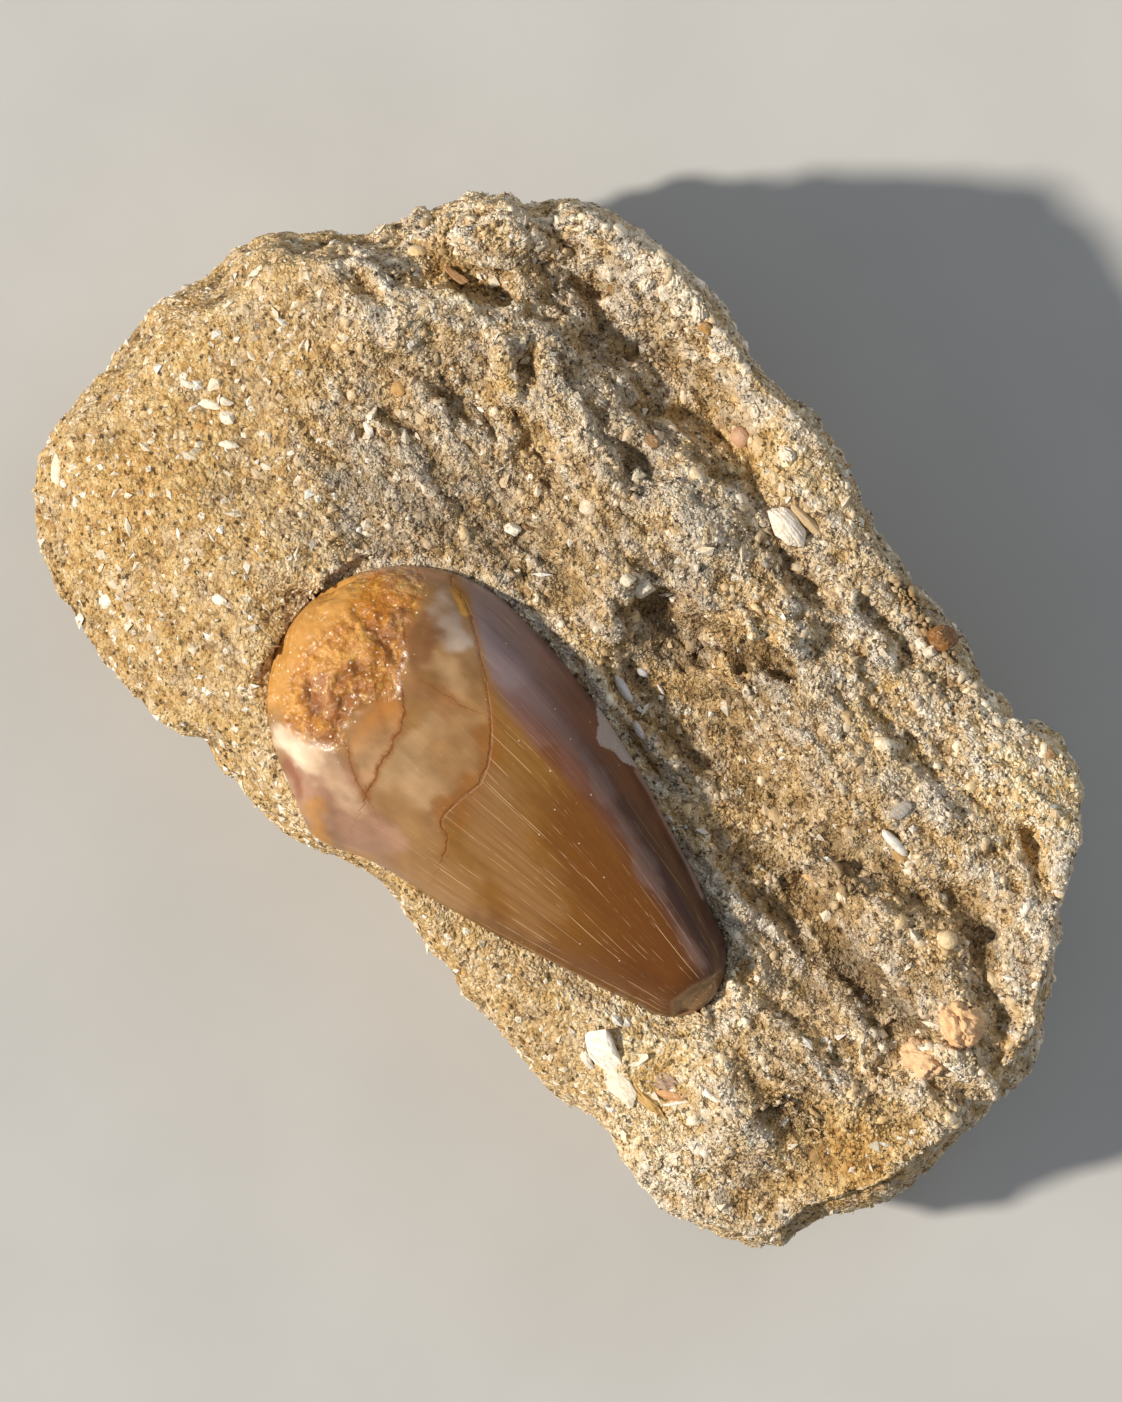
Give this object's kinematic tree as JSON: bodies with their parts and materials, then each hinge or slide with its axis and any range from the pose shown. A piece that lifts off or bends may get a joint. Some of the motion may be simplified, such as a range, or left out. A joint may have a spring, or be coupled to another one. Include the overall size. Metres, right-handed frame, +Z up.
{
  "type": "fossil mosasaur tooth in matrix",
  "caption": "Hooked fossil mosasaur tooth crown lying half buried in an elongated block of sandy phosphate rock, with a flat broken patch underneath to rest on.",
  "frame": {"origin": "middle of the bounding box's bottom, on the surface that the flat patch rests on", "axes": "+X along the block from the smooth pale lobe to the foot, +Y across it from the tooth's side to the ragged back ridge, +Z up out of the face that holds the tooth"},
  "size_m": [0.0996, 0.0597, 0.0308],
  "materials": {
    "sandstone": "matte",
    "enamel": "satin"
  },
  "bodies": {
    "root": {"matrix": "sandstone", "tooth": "enamel"}
  },
  "joints": []
}
